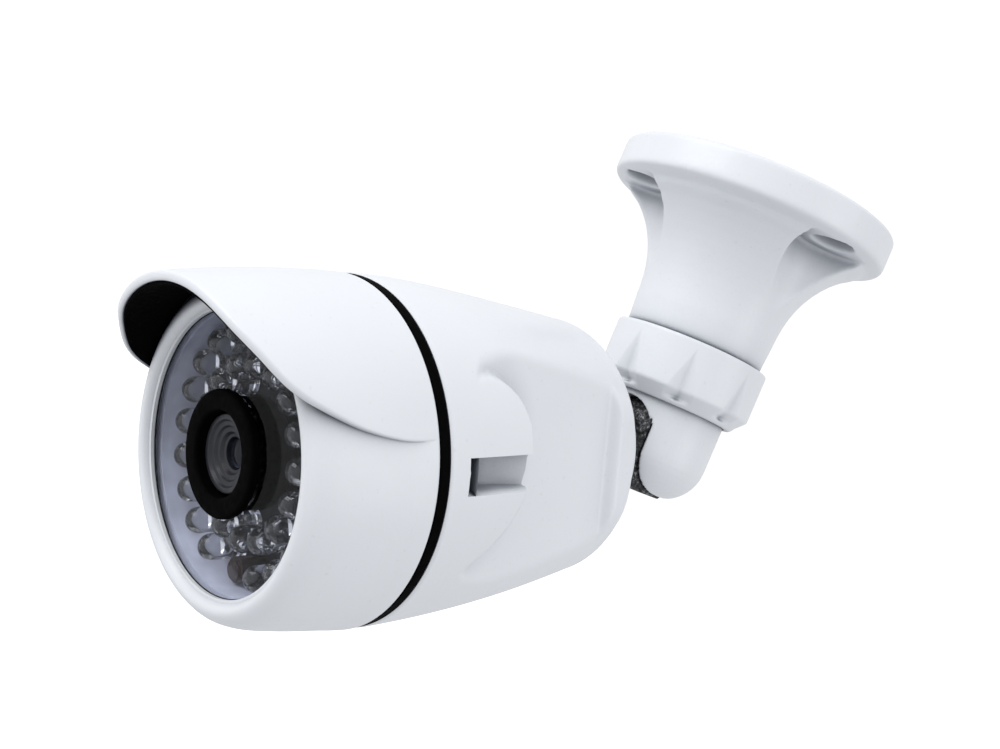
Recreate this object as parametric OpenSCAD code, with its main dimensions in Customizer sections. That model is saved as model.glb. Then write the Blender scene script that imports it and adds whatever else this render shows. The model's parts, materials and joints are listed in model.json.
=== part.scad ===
// Bullet security camera on a three-way bracket.
// Origin: centre of the bracket's mounting face. +Z: out of that face.
// The camera hangs below the face and looks toward -Y, nose down.

/* [Mounting base] */
// Diameter of the round mounting flange
flange_d = 67; // [60:0.5:76]
// Height of the flange rim
rim_h = 8.2; // [6:0.1:10]
// Circle the three mounting screws stand on
screw_pcd = 53; // [46:0.5:56]
// Diameter of a mounting screw hole
screw_hole_d = 4.8; // [3.5:0.1:6]
// Diameter of the screw head recess
head_recess_d = 9.4; // [7:0.1:11]
// Angle of the first screw hole about the post
hole_az = -35; // [-60:1:60]
// Diameter of the cable way through the post
cable_way_d = 20; // [14:0.5:21]

/* [Bracket joint] */
// Depth of the tilt pin below the mounting face
pivot_drop = 63; // [60:0.5:70]
// Outer diameter of the locking collar
collar_d = 37.2; // [36:0.2:42]
// Number of finger flutes round the collar
flute_n = 8; // [6:1:12]
// Outer diameter of the fork head
fork_d = 28; // [26:0.5:29]
// Width of the slot in the fork head
slot_w = 14.4; // [12:0.1:16]
// Diameter of the tilt screw
tilt_screw_d = 5; // [4:0.5:6]

/* [Camera body] */
// Nose-down angle of the camera
nose_down = 18; // [0:1:90]
// Turn of the body about its own axis
body_roll = 8; // [-30:1:30]
// Distance from the tilt pin to the housing joint
seam_at = 94; // [90:0.5:100]
// Diameter of the housings at the joint
body_d = 67; // [62:0.5:72]
// Length of the front barrel ahead of the joint
barrel_len = 23.6; // [20:0.2:28]
// Reach of the sun hood ahead of the joint
hood_reach = 35.4; // [33:0.2:38]
// Wall of the sun hood
hood_wall = 1.8; // [1.2:0.1:2.5]
// Diameter of the front window opening
window_d = 51; // [46:0.5:54]

/* [Optics] */
// Number of lamps in the outer ring
outer_led_n = 20; // [16:1:22]
// Number of lamps in the inner ring
inner_led_n = 16; // [12:1:16]
// Radius of the outer lamp ring
outer_led_r = 22.4; // [21:0.1:23]
// Radius of the inner lamp ring
inner_led_r = 15.9; // [15:0.1:17]
// Outer diameter of the rubber lens shade
shade_d = 23; // [20:0.2:24]

/* [Hidden] */
$fn = 96;
fit = 0.05;
air = 0.3;
white = [0.93, 0.93, 0.94];
black = [0.06, 0.06, 0.07];
grey = [0.62, 0.64, 0.67];
cast = [0.38, 0.38, 0.40];
steel = [0.72, 0.73, 0.75];
board_green = [0.05, 0.22, 0.12];
flange_r = flange_d / 2;
post_end_r = 16.6;
collar_top = -39.8;
collar_bot = -55.2;
thread_r = 16;
post_tip = -48.5;
spigot_r = 11;
hollow_r = 14.2;
shoulder_r = thread_r - 0.35;
shoulder_bot = -51.5;
flute_az = -93;
flute_lean = 8.6;
flute_h = 13;
fork_r = fork_d / 2;
slot_h = slot_w / 2;
arch_drop = 0.6;
tongue_h = slot_h - air;
tongue_r = 12;
pocket_r = tongue_r + air;
neck_r = 6.2;
screw_r = tilt_screw_d / 2;
stud_r = 5;
tail_seat = 23;
back_face = 24.6;
body_r = body_d / 2 - 0.1;
gasket_t = 2.5;
front_start = seam_at - 0.3;
rear_face = front_start - gasket_t;
flat_x = 24;
ramp_from = seam_at - 22;
ramp_slope = 0.3;
slot_deep = 5.5;
slot_run = 16.5;
wall = 2.7;
pocket_up = 0.8;
pocket_front = rear_face - 5;
head_deep = 3.1;
case_screw_r = 30;
bay_r = 27.6;
spigot_out = 27.4;
core_r = 25.6;
glass_front = seam_at + 21.3;
glass_t = 2;
glass_back = glass_front - glass_t;
led_face = seam_at + 9.5;
pcb_t = 1.6;
led_len = 8.6;
led_r = 2.5;
sensor_face = seam_at - 1.4;
main_face = sensor_face - 12;
board_half = 17;
board_hole = 14.2;
lens_front = seam_at + 21.2;
lamp_az = -98;

function arc(cx, cy, r, a0, a1, n) =
    [for (i = [0:n]) [cx + r * cos(a0 + (a1 - a0) * i / n), cy + r * sin(a0 + (a1 - a0) * i / n)]];
function hood_edge(s) = 6.9 + 9.2 * pow(s / 27.5, 2.36) + 8 * pow(s / (hood_reach - 0.4), 16);
function hood_r(s) = body_r + s / 40 - 0.00228 * s * s;
function taper(z) = body_r - 5.6 * pow(max(rear_face - z, 0) / 52, 1.7);

// Frame of the tail and camera: z forward from the tilt pin, y up, x to the side.
module along_body(roll = 0) {
    translate([0, 0, -pivot_drop])
        rotate([nose_down, 0, 0])
            rotate([90, 0, 0])
                rotate([0, 0, roll])
                    children();
}
module camera() {
    along_body(body_roll) children();
}
module tube(r1, r0, z0, z1) {
    translate([0, 0, z0])
        difference() {
            cylinder(r = r1, h = z1 - z0);
            translate([0, 0, -1]) cylinder(r = r0, h = z1 - z0 + 2);
        }
}
module hex(af, z0, z1) {
    translate([0, 0, z0]) rotate([0, 0, 30]) cylinder(r = af / sqrt(3), h = z1 - z0, $fn = 6);
}
module at_corners(d) {
    for (i = [-1, 1])
        for (j = [-1, 1])
            translate([i * d, j * d, 0]) children();
}
module at_case_screws() {
    for (i = [0, 1])
        mirror([i, 0, 0])
            translate([sqrt(pow(case_screw_r, 2) - pow(pocket_up, 2)), pocket_up, 0]) children();
}

// ---- bracket ----
module mounting_base() {
    flare = [for (i = [0:10]) let (t = i / 10)
        [17.1 + 10.9 * pow(1 - t, 2.3) + 0.9 * (1 - t), -10.2 - 22.8 * pow(t, 1.15)]];
    color(white)
        difference() {
            rotate_extrude()
                polygon(concat(
                    [[hollow_r, 0], [flange_r - 0.8, 0], [flange_r, -0.8], [flange_r, 1.4 - rim_h]],
                    arc(flange_r - 1.2, 1.2 - rim_h, 1.2, -15, -80, 4),
                    [[29.8, -9.2]], flare,
                    [[post_end_r, collar_top], [thread_r, collar_top], [thread_r, post_tip],
                     [spigot_r + fit, post_tip], [spigot_r + fit, -42.6], [cable_way_d / 2, -42.6],
                     [cable_way_d / 2, -38], [hollow_r - 0.8, -36]]));
            for (k = [0:2])
                rotate([0, 0, hole_az - 90 + 120 * k])
                    translate([screw_pcd / 2, 0, 0]) {
                        translate([0, 0, -20]) cylinder(r = screw_hole_d / 2, h = 21);
                        translate([0, 0, -20]) cylinder(r = head_recess_d / 2, h = 15.5);
                        translate([1.5, 0, -45]) cylinder(r = 10.2, h = 45 - rim_h - 0.6);
                    }
        }
}

module locking_collar() {
    color(white)
        difference() {
            rotate_extrude()
                polygon([[thread_r + fit, collar_top - 0.2], [collar_d / 2 - 0.8, collar_top - 0.2],
                    [collar_d / 2, collar_top - 1], [collar_d / 2, collar_bot + 3.4],
                    [collar_d / 2 - 3.1, collar_bot], [fork_r + air, collar_bot],
                    [fork_r + air, shoulder_bot - 0.1], [thread_r + fit, shoulder_bot - 0.1]]);
            for (k = [0:flute_n - 1])
                rotate([0, 0, k * 360 / flute_n + flute_az])
                    translate([collar_d / 2, 0, collar_top - 1.7])
                        rotate([0, flute_lean, 0])
                            translate([0, 0, -20])
                                linear_extrude(24) polygon([[0, 0], [6, flute_h], [6, -flute_h]]);
        }
}

module fork_head() {
    color(white)
        translate([0, 0, -pivot_drop])
            difference() {
                rotate_extrude()
                    polygon(concat(
                        [[0, 20], [spigot_r, 20], [spigot_r, pivot_drop + post_tip - 0.1],
                         [shoulder_r, pivot_drop + post_tip - 0.1],
                         [shoulder_r, pivot_drop + shoulder_bot],
                         [fork_r, pivot_drop + shoulder_bot], [fork_r, -3.4]],
                        arc(fork_r - 10, -3.4, 10, 0, -90, 10),
                        [[0, -13.4]]));
                translate([0, 0, -arch_drop]) {
                    rotate([90, 0, 0]) cylinder(r = slot_h, h = 40, center = true);
                    translate([-slot_h, -20, -20]) cube([slot_w, 40, 20]);
                }
                rotate([0, 90, 0]) cylinder(r = pocket_r, h = slot_w, center = true);
                cylinder(r = 5.5, h = 21);
                rotate([0, 90, 0]) cylinder(r = screw_r, h = 22.4, center = true);
                translate([-20, 0, 0]) rotate([0, 90, 0]) cylinder(r = 4.6, h = 10.2);
            }
}

module tilt_screw() {
    color(steel)
        translate([0, 0, -pivot_drop])
            rotate([0, 90, 0])
                difference() {
                    union() {
                        translate([0, 0, -9.8]) cylinder(r = screw_r - 0.01, h = 20.6);
                        translate([0, 0, -13]) cylinder(r = 4.25, h = 3.2);
                    }
                    hex(3.6, -14, -10.9);
                }
}

// ---- tail ----
module tail_tongue() {
    color(cast)
        along_body()
            difference() {
                union() {
                    rotate([0, 90, 0]) cylinder(r = tongue_r, h = 2 * tongue_h, center = true);
                    rotate([0, -90, 0])
                        translate([0, 0, -tongue_h])
                            linear_extrude(2 * tongue_h)
                                polygon([[0, -tongue_r], [2.4, -13.1], [10.8, -10.6], [15, -7.8],
                                    [15.6, -5], [15.6, 0], [0, 0]]);
                    translate([0, 0, 3]) cylinder(r = neck_r, h = tail_seat - 4);
                    translate([0, 0, tail_seat - 2.4]) cylinder(r = 8.6, h = 2.4);
                    cylinder(r = stud_r, h = 37);
                }
                rotate([0, 90, 0]) cylinder(r = screw_r + fit, h = 20, center = true);
                translate([0, 0, 9.5]) cylinder(r = 2.6, h = 30);
                translate([0, 0, 10]) rotate([-52, 0, 0]) cylinder(r = 2.6, h = 20);
            }
}
module tail_seal_washer() {
    color(black) along_body() tube(8.8, stud_r + 0.2, tail_seat + 0.05, back_face - 0.05);
}
module stud_washer() {
    color(steel) along_body() tube(9, stud_r + 0.2, 30.1, 31.1);
}
module stud_nut() {
    color(steel)
        along_body()
            difference() {
                hex(15, 31.15, 35.9);
                translate([0, 0, 30]) cylinder(r = stud_r + 0.02, h = 8);
            }
}

// ---- housings ----
module side_block(i, d, top) {
    ramp_x = d + ramp_slope * (top - ramp_from);
    mirror([i, 0, 0])
        translate([0, 40, 0])
            rotate([90, 0, 0])
                linear_extrude(80) polygon([[d, 20], [60, 20], [60, top], [ramp_x, top], [d, ramp_from]]);
}
module side_lobes() {
    rotate([0, -90, 0])
        translate([0, 0, -45])
            linear_extrude(90)
                translate([seam_at, 0])
                    polygon(concat(
                        [[6, 17.8]], arc(-13.5, 8, 9.8, 90, 180, 10),
                        arc(3.1, 4, 26.4, 180, 247, 12), [[6, -32]]));
}
module key_slot() {
    top = taper(pocket_front - slot_run) - case_screw_r;
    translate([0, 3.1, pocket_front])
        rotate([90, 0, 0])
            linear_extrude(6.2)
                polygon(concat(
                    [[9, 0]],
                    [for (i = [0:8]) [top - slot_deep * cos(i * 11.25), -slot_run * sin(i * 11.25)]],
                    [[9, -slot_run]]));
}
module rear_housing() {
    wing_end = 38;
    color(white)
        camera()
            difference() {
                union() {
                    difference() {
                        rotate_extrude()
                            polygon(concat(
                                [[0, rear_face], [body_r - 0.3, rear_face], [body_r, rear_face - 0.4]],
                                [for (i = [1:14]) [taper(rear_face - 3.6 * i), rear_face - 3.6 * i]],
                                arc(taper(wing_end) + 0.4 - 4, wing_end + 1.2, 4, 0, -90, 8),
                                [[0, wing_end - 2.8]]));
                        difference() {
                            union() {
                                side_block(0, flat_x, pocket_front + 1);
                                side_block(1, flat_x, pocket_front + 1);
                            }
                            side_lobes();
                        }
                    }
                    rotate_extrude()
                        polygon(concat(
                            [[0, rear_face - 30], [24.2, rear_face - 30], [24.2, 43.4], [25.6, 41]],
                            [for (i = [0:12]) [25.6 * pow(cos(i * 6.2), 0.72), 41 - 16.4 * sin(i * 6.2)]],
                            [[9, back_face], [0, back_face]]));
                    tube(spigot_out, core_r - 1, rear_face - 2, rear_face + 5);
                }
                difference() {
                    rotate_extrude()
                        polygon(concat(
                            [[0, 30], [11.5, 30], [16.5, 32.6], [19.8, 37], [21.4, 42], [21.4, 46]],
                            [for (i = [0:6]) [taper(50 + 5 * i) - wall, 50 + 5 * i]],
                            [[core_r, 82], [core_r, 100], [0, 100]]));
                    side_block(0, flat_x - wall, 79);
                    side_block(1, flat_x - wall, 79);
                }
                translate([0, 0, 20]) cylinder(r = stud_r + fit, h = 20);
                at_case_screws() {
                    translate([0, 0, pocket_front - 8]) cylinder(r = 1.65, h = 20);
                    translate([0, 0, pocket_front - 1]) cylinder(r = 2.9, h = head_deep + 1);
                    key_slot();
                }
            }
}
module housing_screws() {
    color(steel)
        camera()
            at_case_screws()
                difference() {
                    union() {
                        translate([0, 0, pocket_front + 0.05]) cylinder(r = 2.7, h = head_deep - 0.1);
                        translate([0, 0, pocket_front + 1]) cylinder(r = 1.49, h = 15);
                    }
                    hex(2.5, pocket_front - 1, pocket_front + 1.5);
                }
}
module housing_gasket() {
    color(black)
        camera()
            difference() {
                rotate_extrude()
                    polygon([[spigot_out + 0.2, rear_face + 0.02], [body_r - 0.5, rear_face + 0.02],
                        [body_r - 0.15, rear_face + 0.4], [body_r - 0.15, front_start - 0.4],
                        [body_r - 0.5, front_start - 0.02], [spigot_out + 0.2, front_start - 0.02]]);
                at_case_screws() translate([0, 0, rear_face - 1]) cylinder(r = 1.7, h = 5);
            }
}
module hood_region(inset, z0) {
    n = 36;
    rotate([0, -90, 0])
        translate([0, 0, -45])
            linear_extrude(90)
                polygon(concat(
                    [for (i = [0:n]) let (s = z0 + (hood_reach - inset - z0) * i / n)
                        [seam_at + s, hood_edge(s + inset) + inset]],
                    [[seam_at + hood_reach - inset, 45], [seam_at + z0, 45]]));
}
module hood_sheet(out, inner, z0) {
    n = 12;
    step = (hood_reach + 1 - z0) / n;
    rotate_extrude()
        polygon(concat(
            [for (i = [0:n]) let (s = z0 + step * i) [hood_r(s) - out, seam_at + s]],
            [for (i = [n:-1:0]) let (s = z0 + step * i) [hood_r(s) - inner, seam_at + s]]));
}
module front_housing() {
    front = seam_at + barrel_len;
    color(white)
        camera()
            difference() {
                union() {
                    rotate_extrude()
                        polygon(concat(
                            [[20, front_start], [body_r - 0.3, front_start], [body_r, front_start + 0.4]],
                            [for (i = [1:8]) let (s = 2.4 * i) [body_r - 0.1 * s - 0.0025 * s * s, seam_at + s]],
                            arc(30.6 - 3.1, front - 3.1, 3.1, 6, 84, 8),
                            [[window_d / 2 + 0.9, front - 0.5], [window_d / 2, front - 1.3], [20, front - 1.3]]));
                    intersection() {
                        hood_sheet(0, hood_wall, 0.2);
                        hood_region(0, 0.2);
                    }
                }
                translate([0, 0, front_start - 1]) cylinder(r = bay_r, h = 1.2 + glass_front - front_start);
                translate([0, 0, seam_at + 10]) cylinder(r = window_d / 2, h = 30);
                at_case_screws() translate([0, 0, seam_at - 1]) cylinder(r = 1.5, h = 11);
            }
}
module hood_lining() {
    color(black)
        camera()
            intersection() {
                hood_sheet(hood_wall + 0.02, hood_wall + 0.7, 21.5);
                hood_region(0.4, 21.5);
            }
}
module window_gasket() {
    color(black) camera() tube(bay_r - 0.1, window_d / 2 - 0.1, glass_front + 0.01, glass_front + 0.19);
}
module front_window() {
    color([0.75, 0.82, 0.86, 0.35]) camera() tube(bay_r - 0.2, 10.4, glass_back, glass_front);
}
module window_spacer() {
    color(grey) camera() tube(bay_r - 0.05, 25.4, led_face + 0.02, glass_back - 0.02);
}
module board_retainer() {
    color(black) camera() tube(bay_r - 0.05, 25, led_face - pcb_t - 3, led_face - pcb_t - 0.02);
}

// ---- lamps ----
module at_outer_lamps() {
    gap = 42.6;
    for (k = [0:outer_led_n - 1])
        rotate([0, 0, lamp_az + gap / 2 + k * (360 - gap) / (outer_led_n - 1)])
            translate([outer_led_r, 0, 0]) children();
}
module at_inner_lamps() {
    for (k = [0:inner_led_n - 1])
        rotate([0, 0, -2 + k * 360 / inner_led_n])
            translate([inner_led_r, 0, 0]) children();
}
module lamp() {
    translate([0, 0, led_face + 0.02]) {
        cylinder(r = led_r + 0.35, h = 1);
        cylinder(r = led_r, h = led_len - led_r);
        translate([0, 0, led_len - led_r]) sphere(r = led_r);
    }
}
module lamp_board() {
    color(black)
        camera()
            difference() {
                tube(bay_r - 0.2, 9.2, led_face - pcb_t, led_face);
                at_corners(board_hole) translate([0, 0, led_face - 3]) cylinder(r = 1.1, h = 4);
            }
}
module outer_ir_lamps() {
    color([0.8, 0.8, 0.85, 0.6]) camera() at_outer_lamps() lamp();
}
module inner_ir_lamps() {
    color([0.8, 0.8, 0.85, 0.6]) camera() at_inner_lamps() lamp();
}
module light_sensor() {
    color([0.2, 0.16, 0.14])
        camera()
            rotate([0, 0, lamp_az])
                translate([outer_led_r, 0, led_face + 0.02]) {
                    cylinder(r = 2.5, h = 5.4);
                    cylinder(r = 1.9, h = 6);
                }
}

// ---- lens ----
module lens_shade() {
    color(black)
        camera()
            rotate_extrude()
                polygon([[7.7, seam_at + 13.2], [10.2, seam_at + 13.2], [10.2, glass_back - 0.3],
                    [10.35, glass_back - 0.3], [10.35, glass_front + 0.02], [shade_d / 2, glass_front + 0.02],
                    [shade_d / 2, seam_at + 22.4], [shade_d / 2 - 0.5, seam_at + 22.9],
                    [8.3, seam_at + 22.9], [7.7, seam_at + 22.3]]);
}
module lens_barrel() {
    color(black)
        camera()
            difference() {
                rotate_extrude()
                    polygon([[0, seam_at + 3.5], [5.9, seam_at + 3.5], [5.9, lens_front - 6.5],
                        [7.2, lens_front - 6.2], [7.2, lens_front - 0.4], [6.8, lens_front], [0, lens_front]]);
                translate([0, 0, lens_front - 0.5]) cylinder(r = 6, h = 2);
                translate([0, 0, lens_front - 1]) cylinder(r = 5, h = 2);
                translate([0, 0, lens_front - 1.5]) cylinder(r = 4, h = 2);
                translate([0, 0, lens_front - 4.5]) cylinder(r = 3, h = 4);
                translate([0, 0, seam_at + 2]) cylinder(r = 3.4, h = 6);
                translate([0, 0, seam_at + 2]) cylinder(r = 2, h = 15);
            }
}
module lens_front_element() {
    color([0.35, 0.4, 0.5, 0.5])
        camera()
            translate([0, 0, lens_front - 4.45])
                intersection() {
                    cylinder(r = 2.97, h = 3.2);
                    translate([0, 0, -4.2]) sphere(r = 7);
                }
}
module lens_locknut() {
    color(black) camera() tube(7.6, 5.92, seam_at + 11.1, seam_at + 13);
}
module lens_holder() {
    base_z = sensor_face + 0.02;
    color(black)
        camera()
            difference() {
                union() {
                    translate([-8.5, -8.5, base_z]) cube([17, 17, 3.4]);
                    translate([0, 0, base_z]) cylinder(r = 8.3, h = seam_at + 11 - base_z);
                    for (i = [-1, 1]) {
                        translate([i * 9.8, 0, base_z]) cylinder(r = 2.2, h = 2.6);
                        translate([i * 9.8 - (i > 0 ? 4 : 0), -2.2, base_z]) cube([4, 4.4, 2.6]);
                    }
                }
                translate([0, 0, base_z + 3]) cylinder(r = 5.93, h = 20);
                translate([-5.6, -5.6, base_z - 1]) cube([11.2, 11.2, 3.4]);
                translate([0, 0, base_z]) cylinder(r = 3.6, h = 8);
                for (i = [-1, 1]) translate([i * 9.8, 0, base_z - 1]) cylinder(r = 0.9, h = 6);
            }
}
module ir_cut_filter() {
    color([0.55, 0.25, 0.3, 0.6])
        camera() translate([-4.6, -4.6, sensor_face + 1.9]) cube([9.2, 9.2, 0.5]);
}
module image_sensor() {
    color([0.15, 0.2, 0.16])
        camera() translate([-4.2, -4.2, sensor_face + 0.02]) cube([8.4, 8.4, 1.1]);
}

// ---- boards ----
module square_board(z, holes_r) {
    difference() {
        translate([-board_half, -board_half, z - pcb_t]) cube([2 * board_half, 2 * board_half, pcb_t]);
        at_corners(board_hole) translate([0, 0, z - 3]) cylinder(r = holes_r, h = 4);
        children();
    }
}
module sensor_board() {
    color(board_green)
        camera()
            square_board(sensor_face, 1.1)
                for (i = [-1, 1]) translate([i * 9.8, 0, sensor_face - 3]) cylinder(r = 0.95, h = 4);
}
module holder_screws() {
    color(steel)
        camera()
            for (i = [-1, 1])
                translate([i * 9.8, 0, 0]) {
                    translate([0, 0, sensor_face - pcb_t - 1.25]) cylinder(r = 1.7, h = 1.2);
                    translate([0, 0, sensor_face - pcb_t - 0.6]) cylinder(r = 0.88, h = 4);
                }
}
module front_spacers() {
    color([0.8, 0.66, 0.35])
        camera() at_corners(board_hole)
            difference() {
                hex(3.6, sensor_face + 0.02, led_face - pcb_t - 0.02);
                translate([0, 0, sensor_face - 1]) cylinder(r = 1.02, h = 5);
            }
}
module rear_spacers() {
    color([0.8, 0.66, 0.35])
        camera() at_corners(board_hole) {
            difference() {
                hex(3.6, main_face + 0.02, sensor_face - pcb_t - 0.02);
                translate([0, 0, main_face - 1]) cylinder(r = 1.02, h = 4.5);
            }
            translate([0, 0, sensor_face - pcb_t - 0.5]) cylinder(r = 1, h = 5);
        }
}
module board_screws() {
    color(steel)
        camera()
            at_corners(board_hole) {
                translate([0, 0, main_face - pcb_t - 1.45]) cylinder(r = 1.8, h = 1.4);
                translate([0, 0, main_face - pcb_t - 0.5]) cylinder(r = 1, h = 4.8);
            }
}
module main_board() {
    color(board_green) camera() square_board(main_face, 1.1);
}
module processor_chip() {
    color(black) camera() translate([-7, -5, main_face + 0.02]) cube([12, 12, 1.2]);
}
module power_inductor() {
    color([0.25, 0.25, 0.27])
        camera() translate([-11, -6, main_face - pcb_t - 4.02]) cube([7, 7, 4]);
}
module smoothing_capacitors() {
    color([0.15, 0.15, 0.3])
        camera()
            for (i = [0:1])
                translate([2 + 8 * i, -9, main_face - pcb_t - 8.02]) cylinder(r = 3, h = 8);
}
module cable_header() {
    color([0.9, 0.88, 0.82])
        camera()
            difference() {
                translate([-7, 5, main_face - pcb_t - 6.02]) cube([14, 5, 6]);
                translate([-6, 6, main_face - pcb_t - 7]) cube([12, 3, 5]);
            }
}

mounting_base();
locking_collar();
fork_head();
tilt_screw();
tail_tongue();
tail_seal_washer();
stud_washer();
stud_nut();
rear_housing();
housing_screws();
housing_gasket();
front_housing();
hood_lining();
window_gasket();
front_window();
window_spacer();
board_retainer();
lamp_board();
outer_ir_lamps();
inner_ir_lamps();
light_sensor();
lens_shade();
lens_barrel();
lens_front_element();
lens_locknut();
lens_holder();
ir_cut_filter();
image_sensor();
sensor_board();
holder_screws();
front_spacers();
rear_spacers();
board_screws();
main_board();
processor_chip();
power_inductor();
smoothing_capacitors();
cable_header();
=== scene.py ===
import json
import math

import bmesh
import bpy
import numpy as np
from mathutils import Matrix, Vector


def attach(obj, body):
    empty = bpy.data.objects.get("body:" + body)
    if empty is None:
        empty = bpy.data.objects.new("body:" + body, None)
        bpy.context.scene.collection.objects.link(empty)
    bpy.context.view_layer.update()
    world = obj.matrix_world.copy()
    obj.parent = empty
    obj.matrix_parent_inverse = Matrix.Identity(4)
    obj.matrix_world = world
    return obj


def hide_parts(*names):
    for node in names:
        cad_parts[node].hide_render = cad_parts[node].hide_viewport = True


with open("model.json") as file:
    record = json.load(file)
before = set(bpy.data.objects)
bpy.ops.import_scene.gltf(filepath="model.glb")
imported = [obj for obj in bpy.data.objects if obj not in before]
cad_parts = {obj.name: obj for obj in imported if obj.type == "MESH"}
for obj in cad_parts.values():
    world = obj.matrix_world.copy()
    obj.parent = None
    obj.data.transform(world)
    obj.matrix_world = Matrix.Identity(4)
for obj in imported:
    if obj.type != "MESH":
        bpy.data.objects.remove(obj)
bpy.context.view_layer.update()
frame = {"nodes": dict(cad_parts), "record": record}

# Outlines are in millimetres in the camera body's frame: x to the side, y up, z forward from
# the tilt pin. The collar's outline is in millimetres in the row frame.
MM = 0.001
TILT = math.radians(18)  # how far the camera points down at rest
PIVOT = Vector((0, 0, -0.063))  # the tilt pin, in metres
UP = Vector((0, -math.sin(TILT), math.cos(TILT)))
FWD = Vector((0, -math.cos(TILT), -math.sin(TILT)))
ROLL = math.radians(8)  # the body's turn about its own axis
SEAM = 94.0  # from the tilt pin to the joint between the housings
REAR_FACE = 91.2  # the rear housing's front face
BODY_R = 33.4
nodes = frame["nodes"]


def body_matrix():
    """From the camera body's frame (x side, y up, z forward from the pin) to the row frame."""
    m = Matrix.Identity(4)
    for c, v in enumerate((Vector((1, 0, 0)), UP, FWD, PIVOT)):
        for r in range(3):
            m[r][c] = v[r]
    return m @ Matrix.Rotation(ROLL, 4, "Z")


BODY = body_matrix()
ROW = Matrix.Identity(4)


# ---- materials ----
class Mat:
    """A node material with a little maker for each kind of node."""

    def __init__(self, name):
        self.m = bpy.data.materials.new(name)
        self.m.use_nodes = True
        self.t = self.m.node_tree
        self.b = self.t.nodes["Principled BSDF"]
        self.coord = self.t.nodes.new("ShaderNodeTexCoord").outputs["Object"]

    def node(self, kind, **values):
        n = self.t.nodes.new("ShaderNode" + kind)
        for k, v in values.items():
            if hasattr(n, k):
                setattr(n, k, v)
            else:
                n.inputs[k.replace("_", " ")].default_value = v
        return n

    def link(self, a, b):
        self.t.links.new(a, b)

    def noise(self, scale, detail=3, rough=0.5):
        n = self.node("TexNoise", Scale=scale, Detail=detail, Roughness=rough)
        self.link(self.coord, n.inputs["Vector"])
        return n.outputs["Fac"]

    def ramp(self, fac, stops):
        n = self.t.nodes.new("ShaderNodeValToRGB")
        e = n.color_ramp.elements
        while len(e) < len(stops):
            e.new(0.5)
        for i, (p, c) in enumerate(stops):
            e[i].position = p
            e[i].color = (*c, 1) if len(c) == 3 else c
        self.link(fac, n.inputs["Fac"])
        return n.outputs["Color"]

    def span(self, fac, a, b, lo=0.3, hi=0.7):
        n = self.node("MapRange")
        for k, v in zip(("From Min", "From Max", "To Min", "To Max"), (lo, hi, a, b)):
            n.inputs[k].default_value = v
        self.link(fac, n.inputs["Value"])
        return n.outputs["Result"]

    def bump(self, fac, strength, distance, onto=None):
        n = self.node("Bump", Strength=strength, Distance=distance)
        self.link(fac, n.inputs["Height"])
        if onto is not None:
            self.link(onto, n.inputs["Normal"])
        return n.outputs["Normal"]

    def multiply(self, a, b, factor):
        n = self.node("Mix", data_type="RGBA", blend_type="MULTIPLY")
        n.inputs["Factor"].default_value = factor
        self.link(a, n.inputs["A"])
        self.link(b, n.inputs["B"])
        return n.outputs["Result"]

    def set(self, **values):
        for k, v in values.items():
            s = self.b.inputs[k.replace("_", " ")]
            if isinstance(v, bpy.types.NodeSocket):
                self.link(v, s)
            else:
                s.default_value = v
        return self


PAINTED_SHADE_REACH = 0.007  # metres; a surface facing another this near gets painted shade
# Painted shade: the colour is multiplied by these tones, darkest where surfaces close in
PAINTED_SHADE_TONES = [(0.2, (0.10, 0.11, 0.13)), (0.6, (0.48, 0.49, 0.52)), (0.92, (1, 1, 1))]


def painted(name, light, dark):
    """Powder coat on a casting: mottling, orange peel, dust specks, and painted shade that darkens its
    recesses.
    """
    m = Mat(name)
    speck = m.ramp(m.noise(900, 2), [(0.0, dark), (0.27, dark), (0.31, light), (1, light)])
    cloud = m.ramp(m.noise(38, 4), [(0.3, tuple(c * 0.975 for c in light)), (0.7, light)])
    # Painted shade: ambient occlusion darkens the colour in recesses, creases, holes and between parts
    painted_shade_ao = m.node("AmbientOcclusion", samples=6, Distance=PAINTED_SHADE_REACH)
    shade = m.ramp(painted_shade_ao.outputs["AO"], PAINTED_SHADE_TONES)
    colour = m.multiply(m.multiply(cloud, speck, 0.35), shade, 1.0)
    peel = m.bump(m.noise(1100, 2), 0.09, 0.0003)
    wave = m.bump(m.noise(160, 2), 0.10, 0.0006, peel)
    return m.set(Base_Color=colour, Roughness=m.span(m.noise(300, 3), 0.30, 0.42),
                 Normal=wave, Specular_IOR_Level=0.5, Coat_Weight=0.15, Coat_Roughness=0.2)


def plain(name, base, rough, metal=0.0, grain=1200, depth=0.1, vary=0.15, **more):
    """A moulded, rubber or metal surface with its own grain and unevenness."""
    m = Mat(name)
    lo = tuple(c * (1 - vary) for c in base)
    hi = tuple(min(1, c * (1 + vary)) for c in base)
    m.set(Base_Color=m.ramp(m.noise(grain * 0.2, 4), [(0.3, lo), (0.7, hi)]),
          Roughness=m.span(m.noise(grain * 0.5, 3), rough * 0.85, min(1, rough * 1.15)),
          Normal=m.bump(m.noise(grain, 3), depth, 0.0002), Metallic=metal)
    return m.set(**more)


def casting(name):
    """Unpainted die casting: dark, coarse grained and blotchy, with bright crystal faces."""
    m = Mat(name)
    v = m.node("TexVoronoi", Scale=1300)
    m.link(m.coord, v.inputs["Vector"])
    blotch = m.ramp(m.noise(1100, 5, 0.7), [(0.38, (0.012, 0.012, 0.013)), (0.54, (0.07, 0.072, 0.075)),
                                            (0.70, (0.42, 0.43, 0.44))])
    n1 = m.bump(m.noise(1300, 5, 0.7), 0.6, 0.0005)
    n2 = m.bump(v.outputs["Distance"], 0.35, 0.0003, n1)
    return m.set(Base_Color=blotch, Metallic=0.85, Normal=n2,
                 Roughness=m.span(m.noise(900, 3), 0.38, 0.62))


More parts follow.
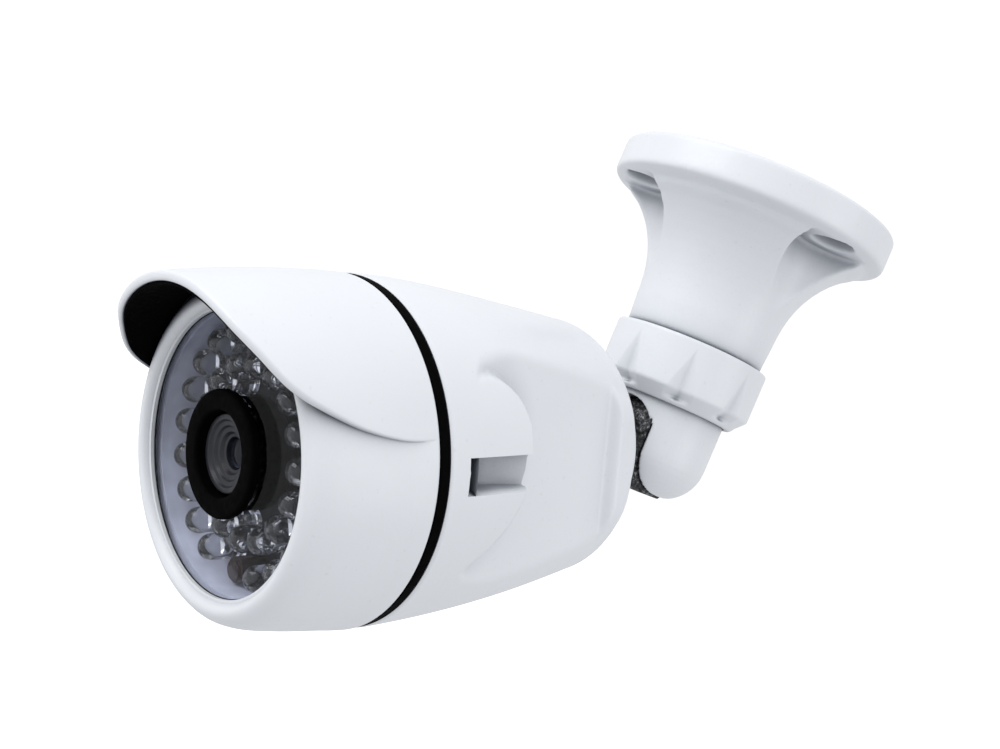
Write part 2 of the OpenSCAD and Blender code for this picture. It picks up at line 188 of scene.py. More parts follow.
def clear(name, tint, rough, ior, level=0.5):
    """Clear glass or epoxy; a low level is an anti-reflection coating."""
    m = Mat(name)
    return m.set(Base_Color=m.ramp(m.noise(60, 3), [(0.3, tuple(c * 0.985 for c in tint)), (0.7, tint)]),
                 Roughness=m.span(m.noise(240, 3), rough, rough + 0.015),
                 IOR=ior, Transmission_Weight=1.0, Specular_IOR_Level=level)


# The white coat's colour carries painted shade in its recesses
paint = painted("white_powder_coat_painted_shade", (0.80, 0.815, 0.84), (0.66, 0.67, 0.69))
mats = {
    "white_paint": paint,
    "rubber_black": plain("black_rubber", (0.0012, 0.0012, 0.0013), 0.7, grain=1600, depth=0.12,
                          Specular_IOR_Level=0.02),
    "raw_casting": casting("raw_casting"),
    "screw_steel": plain("plated_steel", (0.62, 0.62, 0.63), 0.28, 1.0, grain=2500, depth=0.08),
    "black_plastic": plain("black_lining", (0.0015, 0.0015, 0.0017), 0.85, grain=2200, depth=0.5,
                           Specular_IOR_Level=0.03),
    "grey_plastic": plain("grey_spacer", (0.58, 0.61, 0.74), 0.4, grain=900, depth=0.08),
    "window_glass": clear("window_glass", (0.96, 0.97, 1.0), 0.004, 1.13),
    "lamp_epoxy": clear("lamp_epoxy", (0.96, 0.97, 1.0), 0.01, 1.5),
    "sensor_epoxy": plain("sensor_epoxy", (0.03, 0.02, 0.02), 0.15, grain=400, depth=0.03),
    "lens_glass": clear("lens_glass", (0.30, 0.34, 0.50), 0.004, 1.3, 0.4),
    "filter_glass": clear("filter_glass", (0.85, 0.45, 0.5), 0.01, 1.5),
    "lamp_board_black": plain("black_solder_mask", (0.010, 0.011, 0.015), 0.5, grain=900, depth=0.1,
                              Specular_IOR_Level=0.2),
    "board_green": plain("green_solder_mask", (0.02, 0.12, 0.05), 0.4, grain=700, depth=0.1),
    "spacer_brass": plain("brass", (0.70, 0.52, 0.24), 0.3, 1.0, grain=2000),
    "chip_black": plain("chip_moulding", (0.02, 0.02, 0.022), 0.6, grain=1800),
    "capacitor_case": plain("capacitor_sleeve", (0.03, 0.03, 0.10), 0.35, grain=900),
    "header_nylon": plain("natural_nylon", (0.72, 0.68, 0.58), 0.45, grain=900),
}
barrel_grey = plain("lens_barrel_grey", (0.013, 0.014, 0.020), 0.42, grain=1500, depth=0.08)
silver = plain("leadframe_silver", (0.88, 0.88, 0.90), 0.22, 1.0, grain=3000, depth=0.2)
die = plain("lamp_die", (0.30, 0.24, 0.16), 0.3, 0.6, grain=3000)


# ---- mesh helpers ----
WELD = 0.002  # vertices closer than this are one, in millimetres


def add_object(name, data):
    o = bpy.data.objects.new(name, data)
    bpy.context.scene.collection.objects.link(o)
    return o


def to_row(bm, place=BODY):
    """Moves a bmesh from millimetres in its own frame to metres in the row frame."""
    bmesh.ops.transform(bm, matrix=place @ Matrix.Scale(MM, 4), verts=bm.verts)


def shade_smooth(bm, angle):
    """Smooth shading, with a crease where two faces meet at more than angle degrees."""
    for f in bm.faces:
        f.smooth = True
    for e in bm.edges:
        if len(e.link_faces) == 2:
            e.smooth = e.calc_face_angle(0) < math.radians(angle)


def finish_mesh(name, bm, m, body, slot=None, replaced=(), angle=38, place=BODY):
    """Turns a bmesh in millimetres into a shown piece."""
    bmesh.ops.remove_doubles(bm, verts=bm.verts, dist=WELD)
    to_row(bm, place)
    bmesh.ops.recalc_face_normals(bm, faces=bm.faces)
    shade_smooth(bm, angle)
    me = bpy.data.meshes.new(name)
    bm.to_mesh(me)
    bm.free()
    o = add_object(name, me)
    me.materials.append(m.m)
    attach(o, body)
    if replaced:
        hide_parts(*replaced)
    return o


def grid(bm, pts, wrap_v=True):
    """Quads over an array of points [v][u][xyz]; wraps round u, and closes v into a ring."""
    nv, nu = pts.shape[:2]
    vs = [[bm.verts.new(p) for p in row] for row in pts.tolist()]
    for i in range(nv if wrap_v else nv - 1):
        for j in range(nu):
            q = [vs[i][j], vs[i][(j + 1) % nu], vs[(i + 1) % nv][(j + 1) % nu], vs[(i + 1) % nv][j]]
            bm.faces.new(q)
    return vs


def densify(profile, step):
    """Splits a closed profile's sides so that none is longer than step."""
    out = []
    for a, b in zip(profile, profile[1:] + profile[:1]):
        n = max(1, math.ceil(math.dist(a, b) / step))
        out += [(a[0] + (b[0] - a[0]) * k / n, a[1] + (b[1] - a[1]) * k / n) for k in range(n)]
    return out


def rounded(profile, radii, n=5):
    """A closed profile of (r, z) with each corner rounded by its radius."""
    out = []
    k = len(profile)
    for i, rad in enumerate(radii):
        p, a, b = (np.array(profile[j % k], float) for j in (i, i - 1, i + 1))
        if rad <= 0:
            out.append(tuple(p))
            continue
        u, v = (a - p) / np.linalg.norm(a - p), (b - p) / np.linalg.norm(b - p)
        half = math.acos(max(-1, min(1, float(u @ v)))) / 2
        cut = min(rad / math.tan(half), 0.49 * min(np.linalg.norm(a - p), np.linalg.norm(b - p)))
        for t in np.linspace(0, 1, n + 1):
            q = (1 - t) ** 2 * (p + u * cut) + 2 * t * (1 - t) * p + t ** 2 * (p + v * cut)
            out.append((float(q[0]), float(q[1])))
    return out


def revolve(profile, n=96):
    """Points of a closed profile of (r, z) turned about z: an array [profile][n][3]."""
    a = np.arange(n) * 2 * math.pi / n
    p = np.array(profile)
    return np.stack([p[:, :1] * np.cos(a), p[:, :1] * np.sin(a),
                     np.repeat(p[:, 1:], n, 1)], -1)


def drop_flat(bm, least):
    """Deletes faces with less than this area, in square millimetres."""
    flat = [f for f in bm.faces if f.calc_area() < least]
    bmesh.ops.delete(bm, geom=flat, context="FACES_ONLY")


def lathe(name, profile, m, body, **more):
    """A turned piece. A profile that reaches the axis is closed there."""
    bm = bmesh.new()
    grid(bm, revolve(profile))
    bmesh.ops.remove_doubles(bm, verts=bm.verts, dist=1e-4)
    drop_flat(bm, 1e-9)
    return finish_mesh(name, bm, m, body, **more)


def smoothstep(x, a, b):
    t = np.clip((x - a) / (b - a), 0, 1)
    return t * t * (3 - 2 * t)


def softmin(a, b, k):
    h = np.clip(0.5 + 0.5 * (b - a) / k, 0, 1)
    return b * (1 - h) + a * h - k * h * (1 - h)


def polygon_distance(x, y, poly):
    """Signed distance to a closed polygon, negative inside."""
    d = np.full(x.shape, 1e9)
    inside = np.zeros(x.shape, bool)
    for (x0, y0), (x1, y1) in zip(poly, poly[1:] + poly[:1]):
        ex, ey = x1 - x0, y1 - y0
        t = np.clip(((x - x0) * ex + (y - y0) * ey) / (ex * ex + ey * ey), 0, 1)
        d = np.minimum(d, np.hypot(x - x0 - t * ex, y - y0 - t * ey))
        cross = (y0 > y) != (y1 > y)
        with np.errstate(divide="ignore", invalid="ignore"):
            inside ^= cross & (x < (x1 - x0) * (y - y0) / (y1 - y0 + 1e-12) + x0)
    return np.where(inside, -d, d)


def soften(name, voxel, rounds, m):
    """A CAD node re-meshed with soft cast edges. voxel is in millimetres."""
    o = add_object(name + "_soft", nodes[name].data.copy())
    r = o.modifiers.new("remesh", "REMESH")
    r.mode = "VOXEL"
    r.voxel_size = voxel * MM
    s = o.modifiers.new("smooth", "SMOOTH")
    s.factor = 0.5
    s.iterations = rounds
    dg = bpy.context.evaluated_depsgraph_get()
    new = bpy.data.meshes.new_from_object(o.evaluated_get(dg))
    o.modifiers.clear()
    o.data = new
    new.name = name + "_soft"
    new.materials.clear()
    new.materials.append(m.m)
    new.polygons.foreach_set("use_smooth", [True] * len(new.polygons))
    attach(o, next(b for b, ns in frame["record"]["behaviour"]["bodies"].items() if name in ns))
    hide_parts(name)


# ---- camera and light ----
CAMERA_AT = (0.19093, -0.24344, -0.07378)
CAMERA_LOOK = Vector((-0.7115, 0.7019, 0.0317))
CAMERA_UP = Vector((-0.2595, -0.3045, 0.9165))
SENSOR_WIDTH, FOCAL_LENGTH = 36, 46.8
FLOOR_HALF, FLOOR_Z = 6, -0.36
FLOOR_GLOW = 0.6
LIT_CENTRE = Vector((0, -0.07, -0.08))
SKY_LOW, SKY_HIGH, SKY_SEEN = 0.71, 0.96, 1.05  # light from below and above, and the backdrop


def set_camera():
    cam = add_object("view_camera", bpy.data.cameras.new("view_camera"))
    look = CAMERA_LOOK.normalized()
    right = look.cross(CAMERA_UP).normalized()
    up = right.cross(look)
    turn = Matrix((right, up, -look)).transposed()
    cam.matrix_world = Matrix.Translation(CAMERA_AT) @ turn.to_4x4()
    cam.data.sensor_width = SENSOR_WIDTH
    cam.data.lens = FOCAL_LENGTH
    cam.data.clip_start = 0.01
    bpy.context.scene.camera = cam
    return right, up, look


def area(name, at, size, power):
    """A soft lamp that faces the camera being modelled."""
    light = bpy.data.lights.new(name, "AREA")
    light.shape = "RECTANGLE"
    light.size, light.size_y = size
    light.energy = power
    o = add_object(name, light)
    o.location = at
    o.rotation_euler = (Vector(at) - LIT_CENTRE).to_track_quat("Z", "Y").to_euler()


def set_stage(right, up, look):
    bm = bmesh.new()
    bmesh.ops.create_grid(bm, x_segments=8, y_segments=8, size=FLOOR_HALF)
    bmesh.ops.translate(bm, verts=bm.verts, vec=(0, 0, FLOOR_Z))
    me = bpy.data.meshes.new("floor")
    bm.to_mesh(me)
    bm.free()
    floor = add_object("floor", me)
    white = plain("floor_white", (0.9, 0.9, 0.9), 0.9, grain=20, depth=0, vary=0.01,
                  Emission_Color=(1, 1, 1, 1), Emission_Strength=FLOOR_GLOW)
    floor.data.materials.append(white.m)
    floor.visible_diffuse = False
    floor.visible_glossy = False
    floor.visible_transmission = False
    c = LIT_CENTRE
    area("key", c - look * 0.35 + up * 0.75 - right * 0.35, (0.7, 0.7), 4.4)
    area("left", c - right * 0.8 - look * 0.3 + up * 0.1, (0.5, 0.7), 0.3)
    area("right", c + right * 0.8 - look * 0.4 - up * 0.15, (0.5, 0.7), 1.15)


def set_world():
    """A white backdrop, with softer light that is a little stronger from above."""
    world = bpy.data.worlds.new("studio")
    bpy.context.scene.world = world
    world.use_nodes = True
    t = world.node_tree
    t.nodes.clear()
    out = t.nodes.new("ShaderNodeOutputWorld")
    white = t.nodes.new("ShaderNodeBackground")
    white.inputs["Color"].default_value = (1, 1, 1, 1)
    white.inputs["Strength"].default_value = SKY_SEEN
    soft = t.nodes.new("ShaderNodeBackground")
    coord = t.nodes.new("ShaderNodeTexCoord")
    split = t.nodes.new("ShaderNodeSeparateXYZ")
    rng = t.nodes.new("ShaderNodeMapRange")
    rng.inputs["From Min"].default_value = -1
    rng.inputs["To Min"].default_value = SKY_LOW
    rng.inputs["To Max"].default_value = SKY_HIGH
    t.links.new(coord.outputs["Generated"], split.inputs[0])
    t.links.new(split.outputs["Z"], rng.inputs["Value"])
    t.links.new(rng.outputs["Result"], soft.inputs["Strength"])
    soft.inputs["Color"].default_value = (0.96, 0.975, 1.0, 1)
    path = t.nodes.new("ShaderNodeLightPath")
    mix = t.nodes.new("ShaderNodeMixShader")
    t.links.new(path.outputs["Is Camera Ray"], mix.inputs["Fac"])
    t.links.new(soft.outputs[0], mix.inputs[1])
    t.links.new(white.outputs[0], mix.inputs[2])
    t.links.new(mix.outputs[0], out.inputs["Surface"])
    bpy.context.scene.view_settings.view_transform = "Standard"


set_stage(*set_camera())
set_world()




# ---- rear housing ----
EDGE_R = 33.1  # both housings' radius at the joint, inside the edge round
TAPER_FROM, TAPER_TO = 90.7, 39.2
CORNER_R = 4  # where the taper turns in to the rear dome
DOME_R, DOME_AT_Z, DOME_RISE = 25.6, 41, 16.4
STUD_R, SEAT_R, DOME_FACE, DOME_INSIDE = 5.1, 8.6, 24.6, 30
SCREW_X, SCREW_Y, COUNTERBORE_R = 29.99, 0.8, 2.9
FLAT_X = 23.8  # from the body's middle plane to the flat floor of the side recess


def arc(cx, cy, r, a0, a1, n):
    return [(cx + r * math.cos(a), cy + r * math.sin(a)) for a in np.radians(np.linspace(a0, a1, n))]


# The screw lobe's outline in the recess: (distance in front of the joint, height).
LOBE = ([(6, 9), (-4.5, 9.5), (-6, 13), (-8.4, 16.2)] + arc(-14.2, 8, 9.8, 84, 180, 8)
        + arc(2.4, 4, 26.4, 180, 247, 10) + [(6, -32)])


def taper(z):
    """Outer radius of the rear housing."""
    return BODY_R - 5.6 * np.power(np.maximum(REAR_FACE - z, 0) / 52, 1.7)


def side_face(x, y, z):
    """Pulls the outer skin in to the flat side faces, leaving the screw lobe standing."""
    s = z - SEAM
    ramp = 0.15 * (s + 22 + np.sqrt((s + 22) ** 2 + 9))
    front_rise = 5 * smoothstep(s, -15, -5)
    rear_step = 1.8 * smoothstep(-s, 51, 54)
    plane = FLAT_X + ramp + front_rise + rear_step
    ax = np.abs(x)
    cut = softmin(ax, plane, 1.0)
    lobe = smoothstep(polygon_distance(s, y, LOBE), 0.7, -0.9)
    out = np.where(ax < 8, ax, cut + (ax - cut) * lobe)
    return np.sign(x) * out


def rear_outlines():
    """The shell's outer (r, z) outline from the joint back, and the inner one that returns."""
    wing = [(float(taper(z)), z) for z in np.linspace(TAPER_FROM, TAPER_TO, 150)]
    end_r = float(taper(TAPER_TO))
    corner = [(end_r - CORNER_R + CORNER_R * math.cos(a), TAPER_TO - CORNER_R * math.sin(a))
              for a in np.linspace(0.1, 1.25, 9)]
    dome = [(DOME_R * math.cos(a) ** 0.72, DOME_AT_Z - DOME_RISE * math.sin(a))
            for a in np.radians(np.linspace(22, 75, 26))]
    hole = [(SEAT_R, DOME_FACE), (STUD_R, DOME_FACE), (STUD_R, DOME_INSIDE)]
    wall = [(11.5, DOME_INSIDE), (16.5, 32.6), (19.8, 37), (21.2, 42), (21.4, 46), (22.2, 52),
            (25.6, 82), (25.6, REAR_FACE)]
    spigot = [(24.7, REAR_FACE), (24.7, 96.1), (27.3, 96.1), (27.3, REAR_FACE)]
    return [(EDGE_R, REAR_FACE)] + wing + corner + dome, hole + wall + spigot


def add_key_slot(bm, side):
    """Adds the tool for one side's key slot, whose floor curves out from its deep front end."""
    rows = []
    for t in np.radians(np.linspace(0, 80, 14)):
        z = 86.9 - 17.9 * math.sin(t)
        floor = 32.15 - 5.5 * math.cos(t)
        lip = float(taper(z))
        ring = [(-2.25, floor + 0.5), (-2.1, floor + 0.2), (-1.6, floor), (2.8, floor),
                (3.5, floor + 0.3), (3.75, floor + 0.6), (3.85, 45), (-3.4, 45), (-3.2, lip + 0.2),
                (-2.75, max(floor + 0.8, lip - 0.45)), (-2.35, max(floor + 0.7, lip - 1.1))]
        rows.append([(side * x, y, z) for y, x in ring])
    vs = grid(bm, np.array(rows, float), wrap_v=False)
    bm.faces.new(vs[0])
    # This cap leaves a thin wall across the slot, 1.9 mm behind the front end. The tool's far
    # end stays open, outside the casting.
    bm.faces.new(vs[1][::-1])


def rear_housing():
    outer, inner = rear_outlines()
    pts = revolve(outer + inner, 420)
    skin = pts[:len(outer)]
    back = SEAM - skin[..., 2]
    sag = smoothstep(back, 4, 42) - smoothstep(back, 54, 64)
    skin[..., 1] *= 1 + sag * np.where(skin[..., 1] > 0, -0.03, 0.01)
    skin[..., 0] = side_face(skin[..., 0], skin[..., 1], skin[..., 2])
    bm = bmesh.new()
    grid(bm, pts)
    o = finish_mesh("rear_housing_cast", bm, paint, "camera", "white_paint", ["rear_housing"], angle=42)
    slots, bores = bmesh.new(), bmesh.new()
    for side in (-1, 1):
        add_key_slot(slots, side)
        add_turned(bores, [(0.001, 85.4), (COUNTERBORE_R, 85.4), (COUNTERBORE_R, 89.3), (0.001, 89.3)],
                   Matrix.Translation((side * SCREW_X, SCREW_Y, 0)), 40)
    for tool in (slots, bores):
        bmesh.ops.recalc_face_normals(tool, faces=tool.faces)
        to_row(tool)
        boolean(o, tool, "DIFFERENCE", 42)


def boolean(o, tool_bm, how, angle):
    """Cuts or joins a closed bmesh, in metres in the row frame, into o."""
    me = bpy.data.meshes.new("tool")
    tool_bm.to_mesh(me)
    tool_bm.free()
    tool = add_object("tool", me)
    me.transform(o.matrix_world)
    b = o.modifiers.new("cut", "BOOLEAN")
    b.object = tool
    b.operation = how
    b.solver = "EXACT"
    dg = bpy.context.evaluated_depsgraph_get()
    new = bpy.data.meshes.new_from_object(o.evaluated_get(dg))
    o.modifiers.clear()
    old = o.data
    o.data = new
    bpy.data.meshes.remove(old)
    bpy.data.objects.remove(tool)
    bpy.data.meshes.remove(me)
    bm = bmesh.new()
    bm.from_mesh(new)
    bmesh.ops.dissolve_degenerate(bm, edges=bm.edges, dist=1e-7)
    shade_smooth(bm, angle)
    bm.to_mesh(new)
    bm.free()


# ---- front housing and hood ----
# The front housing's outer skin: (distance in front of the joint, radius).
BARREL = [(0.1, 33.4), (2.5, 33.2), (5, 32.9), (10, 32.4), (14, 31.9), (17, 31.45), (19, 31.05),
          (20.5, 30.6), (21.8, 30.05), (22.6, 29.4), (23.2, 28.7), (23.55, 27.8), (23.45, 27.0),
          (23.0, 26.45), (22.3, 26.05)]
# The hood's edge: (distance in front of the joint, degrees from the top).
HOOD = [(0.2, 78.1), (3.4, 78.2), (6.7, 77.8), (10, 76.7), (13.3, 75.1), (16.4, 73.1),
        (19.4, 70.5), (22.3, 67.6), (25.1, 64.3), (27.5, 60.2), (29.3, 55.4), (30.8, 50.2),
        (32.2, 44.8), (33.3, 39.3), (34.0, 33.7), (34.45, 28), (34.75, 22), (34.95, 16),
        (35.08, 10), (35.15, 5), (35.2, 0)]
BORE_R = 27.6
WINDOW_SEAT = 21.5  # in front of the joint
SPIGOT_FROM = -0.3  # back edge of the housing, in front of the joint


def resample(points, n):
    """Evenly spaced points on a smooth curve through a list of (distance, degrees)."""
    p = np.array(points, float)
    seg = np.hypot(np.diff(p[:, 0]), np.diff(p[:, 1]) * BODY_R * math.pi / 180)
    t = np.concatenate([[0], np.cumsum(seg)])
    u = np.linspace(0, t[-1], n)
    k = np.interp(u, t, np.arange(len(p)))
    i = np.clip(k.astype(int), 0, len(p) - 2)
    f = (k - i)[:, None]

    def at(j):
        return p[np.clip(j, 0, len(p) - 1)]
    p0, p1, p2, p3 = at(i - 1), at(i), at(i + 1), at(i + 2)
    return 0.5 * (2 * p1 + (p2 - p0) * f + (2 * p0 - 5 * p1 + 4 * p2 - p3) * f ** 2
                  + (3 * p1 - p0 - 3 * p2 + p3) * f ** 3)


# Half of the sheet's rounded lip: (share of the lip's width, share of half the thickness).
LIP = [(0.45, 0.94), (0.82, 0.72), (1, 0.3), (1, -0.3), (0.82, -0.72), (0.45, -0.94)]


def hood_sheet(r_out, r_in, edge, inset, lip, start=None, columns=72):
    """A closed curved sheet over the window, bounded by the hood's edge, with a rounded lip.

    inset moves the edge inward, lip is how far the round stands out from it, and start cuts
    off the sheet behind that distance in front of the joint.
    """
    e = edge.copy()
    e[-1, 1] = 0
    line = np.stack([e[:, 0], np.radians(e[:, 1]) * r_out], -1)
    d = np.gradient(line, axis=0)
    nrm = np.stack([d[:, 1] * -1, d[:, 0]], -1)
    nrm /= np.linalg.norm(nrm, axis=1)[:, None]
    nrm[-1] = (1, 0)
    line = line - nrm * inset
    line[:, 1] = np.maximum(line[:, 1], 0)
    line[-1, 1] = 0
    if start is not None:
        keep = line[:, 0] > start
        line, nrm = line[keep], nrm[keep]
    mid, half = (r_out + r_in) / 2, (r_out - r_in) / 2

    def ring(i):
        s0, w0 = line[i]
        out_s, out_w = nrm[i] * lip
        pts = [(s0, w0 * q, r_out) for q in np.linspace(-1, 1, columns)]
        pts += [(s0 + out_s * h, w0 + out_w * h, mid + v * half) for h, v in LIP]
        pts += [(s0, w0 * q, r_in) for q in np.linspace(1, -1, columns)]
        pts += [(s0 + out_s * h, -w0 - out_w * h, mid + v * half) for h, v in LIP[::-1]]
        a = np.array(pts)
        phi = math.pi / 2 - a[:, 1] / r_out
        r = a[:, 2] + a[:, 0] / 40 - 0.00228 * a[:, 0] ** 2
        return np.stack([r * np.cos(phi), r * np.sin(phi), SEAM + a[:, 0]], -1)
    bm = bmesh.new()
    vs = grid(bm, np.array([ring(i) for i in range(len(line))]), wrap_v=False)
    bm.faces.new(vs[0])
    bmesh.ops.remove_doubles(bm, verts=bm.verts, dist=2e-3)
    drop_flat(bm, 1e-8)
    bmesh.ops.triangulate(bm, faces=[f for f in bm.faces if len(f.verts) > 4])
    bmesh.ops.recalc_face_normals(bm, faces=bm.faces)
    return bm


def front_housing():
    smooth = resample([(s, r * 180 / math.pi / BODY_R) for s, r in BARREL], 64)
    outer = [(r / 180 * math.pi * BODY_R, SEAM + s) for s, r in smooth]
    inner = [(25.5, SEAM + 22.2), (25.5, SEAM + WINDOW_SEAT), (BORE_R, SEAM + WINDOW_SEAT),
             (BORE_R, SEAM + 10), (BORE_R, SEAM + SPIGOT_FROM), (EDGE_R, SEAM + SPIGOT_FROM)]
    bm = bmesh.new()
    grid(bm, revolve(outer + inner, 240))
    o = finish_mesh("front_housing_cast", bm, paint, "camera", "white_paint", ["front_housing"],
                    angle=50)
    tool = hood_sheet(BODY_R, 31.65, resample(HOOD, 90), inset=0.5, lip=0.5)
    to_row(tool)
    boolean(o, tool, "UNION", 50)
    lining = hood_sheet(31.6, 31.0, resample(HOOD, 90), inset=0.85, lip=0.2, start=WINDOW_SEAT)
    finish_mesh("hood_lining_sheet", lining, mats["black_plastic"], "camera", "black_plastic",
                ["hood_lining"])


# ---- lamps ----
BOARD_FACE = SEAM + 9.52  # where the lamps stand on their board
LAMP_R = 2.5
DOME_AT = BOARD_FACE + 6.1  # where a lamp's straight side ends
OUTER_LAMPS, OUTER_RING_R, OUTER_GAP = 20, 22.4, 42.6  # the gap, in degrees, is at the bottom
INNER_LAMPS, INNER_RING_R = 16, 15.9
BOTTOM = -98  # direction of the gap's middle, in degrees


def lamp_spots():
    """Ring, radius and direction of each lamp."""
    for k in range(OUTER_LAMPS):
        yield "outer", OUTER_RING_R, BOTTOM + OUTER_GAP / 2 + k * (360 - OUTER_GAP) / (OUTER_LAMPS - 1)
    for k in range(INNER_LAMPS):
        yield "inner", INNER_RING_R, -2 + k * 360 / INNER_LAMPS


def lamp_profile():
    z = BOARD_FACE
    flange = [(0.001, z), (2.85, z), (2.85, z + 0.9), (LAMP_R, z + 1.0), (LAMP_R, z + 3), (LAMP_R, DOME_AT)]
    dome = [(LAMP_R * math.cos(a), DOME_AT + LAMP_R * math.sin(a))
            for a in np.linspace(0.12, math.pi / 2 - 0.04, 11)]
    return flange + dome + [(0.001, z + 8.6)]


def add_turned(bm, profile, at, n=28):
    """Adds a turned solid to bm. A profile that ends near the axis is closed there."""
    b = bmesh.new()
    grid(b, revolve(profile, n), wrap_v=False)
    bmesh.ops.remove_doubles(b, verts=b.verts, dist=0.004)
    drop_flat(b, 1e-8)
    holes = [e for e in b.edges if e.is_boundary]
    if holes:
        bmesh.ops.holes_fill(b, edges=holes, sides=0)
    bmesh.ops.transform(b, matrix=at, verts=b.verts)
    me = bpy.data.meshes.new("part")
    b.to_mesh(me)
    b.free()
    bm.from_mesh(me)
    bpy.data.meshes.remove(me)


def add_box(bm, lo, hi, at):
    centre = [(a + b) / 2 for a, b in zip(lo, hi)]
    size = [b - a for a, b in zip(lo, hi)]
    verts = bmesh.ops.create_cube(bm, size=1)["verts"]
    bmesh.ops.scale(bm, verts=verts, vec=size)
    bmesh.ops.translate(bm, verts=verts, vec=centre)
    bmesh.ops.transform(bm, matrix=at, verts=verts)


def lamps():
    """Clear domes over a leadframe cup, its two posts and the die, each lamp turned a little."""
    rng = np.random.default_rng(7)
    rings = {"outer": bmesh.new(), "inner": bmesh.new()}
    frames, dies = bmesh.new(), bmesh.new()
    z = BOARD_FACE
    cup = [(0.001, z + 3.55), (0.55, z + 3.5), (0.62, z + 3.55), (1.02, z + 4.25), (1.12, z + 4.25),
           (1.12, z + 3.3), (0.85, z + 2.9), (0.001, z + 2.9)]
    for which, r, deg in lamp_spots():
        at = Matrix.Rotation(math.radians(deg), 4, "Z") @ Matrix.Translation((r, 0, 0))
        turn = at @ Matrix.Rotation(rng.uniform(-0.35, 0.35) - math.radians(deg), 4, "Z")
        add_turned(rings[which], lamp_profile(), at)
        add_turned(frames, cup, turn, 16)
        add_box(frames, (-1.1, -0.3, z + 0.05), (0.1, 0.3, z + 2.95), turn)
        add_box(frames, (0.62, -0.3, z + 0.05), (1.25, 0.3, z + 2.6), turn)
        add_box(frames, (1.3, -0.28, z + 0.05), (1.9, 0.28, z + 4.4), turn)
        add_box(dies, (-0.18, -0.18, z + 3.56), (0.18, 0.18, z + 3.85), turn)
    for which, bm in rings.items():
        o = finish_mesh(which + "_lamp_domes", bm, mats["lamp_epoxy"], "camera", "lamp_epoxy",
                        [which + "_ir_lamps"], angle=60)
        o.visible_shadow = False
    finish_mesh("lamp_leadframes", frames, silver, "camera", "screw_steel")
    finish_mesh("lamp_dies", dies, die, "camera", "chip_black")


# ---- lens ----
SHADE_R = 10.2
BARREL_FACE = SEAM + 21.2
GLASS_BACK = BARREL_FACE - 4.4
GLASS_R = 6.6  # radius of the front element's outer face


def lens():
    s = SEAM
    shade = [(7.7, s + 13.2), (SHADE_R, s + 13.2), (SHADE_R, s + 19.0), (10.35, s + 19.0),
             (10.35, s + 21.32), (11.5, s + 21.32), (11.5, s + 22.9), (7.7, s + 22.9)]
    lathe("lens_shade_rubber", rounded(shade, [0.2, 0.2, 0, 0, 0, 0.1, 0.75, 0.7]), mats["rubber_black"],
          "camera", slot="rubber_black", replaced=["lens_shade"])
    f = BARREL_FACE
    barrel = [(0.01, s + 3.5), (5.9, s + 3.5), (5.9, f - 6.5), (7.15, f - 6.3), (7.15, f), (6.1, f),
              (5.75, f - 0.55), (5.0, f - 0.6), (4.7, f - 1.1), (3.9, f - 1.15), (3.5, f - 1.8),
              (2.95, f - 1.9), (2.9, f - 4.5), (0.01, f - 4.5)]
    lathe("lens_barrel_turned", rounded(barrel, [0, 0.3, 0, 0.2, 0.35] + [0.12] * 7 + [0.1, 0]), barrel_grey,
          "camera", slot="black_plastic", replaced=["lens_barrel"])
    z = GLASS_BACK
    glass = [(0.01, z), (2.8, z), (2.8, z + 1.0)]
    glass += [(GLASS_R * math.sin(t), z - 4.2 + GLASS_R * math.cos(t)) for t in np.linspace(0.42, 0.02, 12)]
    lathe("lens_front_glass", glass + [(0.01, z + 2.4)], mats["lens_glass"], "camera",
          slot="lens_glass", replaced=["lens_front_element"])


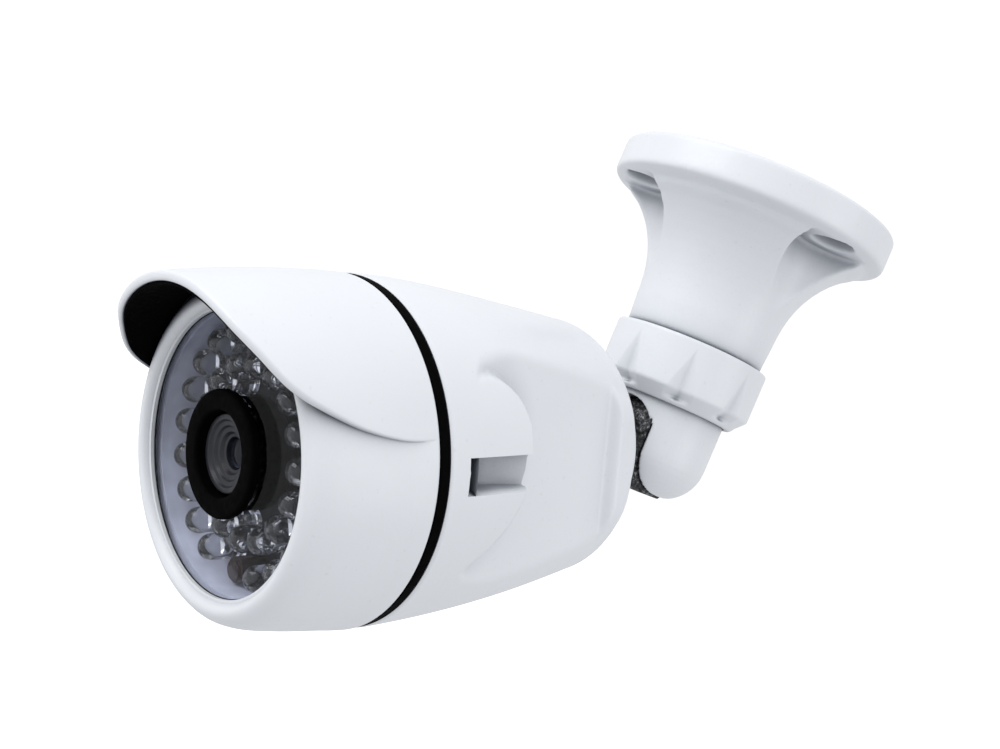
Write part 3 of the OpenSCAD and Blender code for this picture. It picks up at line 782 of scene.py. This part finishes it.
# ---- collar ----
COLLAR_TOP, COLLAR_R = -40.0, 18.6
FLUTES = 8
FLUTE_PITCH = 360 / FLUTES
FLUTE_TURN = 93  # turn of the first flute from +X, in degrees
FLUTE_SLOPE = 0.15  # depth gained per millimetre down the side
FLUTE_SPREAD = 0.46  # depth lost per millimetre across
FLUTE_BLEND = 0.22


def flute_depth(pts, r):
    """How far each point of the collar's wall is pulled in by the tapering finger flutes."""
    turn = np.degrees(np.arctan2(pts[..., 1], pts[..., 0]))
    off = (turn + FLUTE_TURN + FLUTE_PITCH / 2) % FLUTE_PITCH - FLUTE_PITCH / 2
    across = np.abs(off) * math.pi / 180 * COLLAR_R
    down = np.maximum(COLLAR_TOP - 1.5 - pts[..., 2], 0)
    flat = FLUTE_SLOPE * down - across * FLUTE_SPREAD
    rise = 0.5 * (flat + np.sqrt(flat ** 2 + FLUTE_BLEND * FLUTE_BLEND))
    ease = 0.5 * FLUTE_BLEND * np.exp(-np.maximum(-flat, 0))
    groove = np.where(r > 16.3, rise - ease, 0)
    return np.clip(np.where(down > 0, groove, 0), 0, 2.0) * smoothstep(r, 16.1, 17.2)


def collar():
    outline = [(16.05, COLLAR_TOP), (COLLAR_R, COLLAR_TOP), (COLLAR_R, -51.9), (15.5, -55.2),
               (14.3, -55.2), (14.3, -51.6), (16.05, -51.6)]
    outline = densify(rounded(outline, [0.1, 0.7, 1.3, 0.9, 0.1, 0, 0], 6), 0.28)
    pts = revolve(outline, FLUTES * 72)
    r = np.hypot(pts[..., 0], pts[..., 1])
    groove = flute_depth(pts, r)
    pts[..., 0] *= (r - groove) / r
    pts[..., 1] *= (r - groove) / r
    bm = bmesh.new()
    grid(bm, pts)
    finish_mesh("locking_collar_cast", bm, paint, "collar", "white_paint", ["locking_collar"],
                place=ROW, angle=50)


rear_housing()
front_housing()
lamps()
lens()
collar()
soften("mounting_base", 0.42, 6, paint)
soften("fork_head", 0.34, 5, paint)
soften("tail_tongue", 0.34, 3, mats["raw_casting"])

for s in frame["record"]["subparts"]:
    o = nodes[s["node"]]
    for i in range(max(1, len(o.data.materials))):
        m = mats[s["material_slot"]].m
        if len(o.material_slots) > i:
            o.material_slots[i].material = m
        else:
            o.data.materials.append(m)
nodes["front_window"].visible_shadow = False
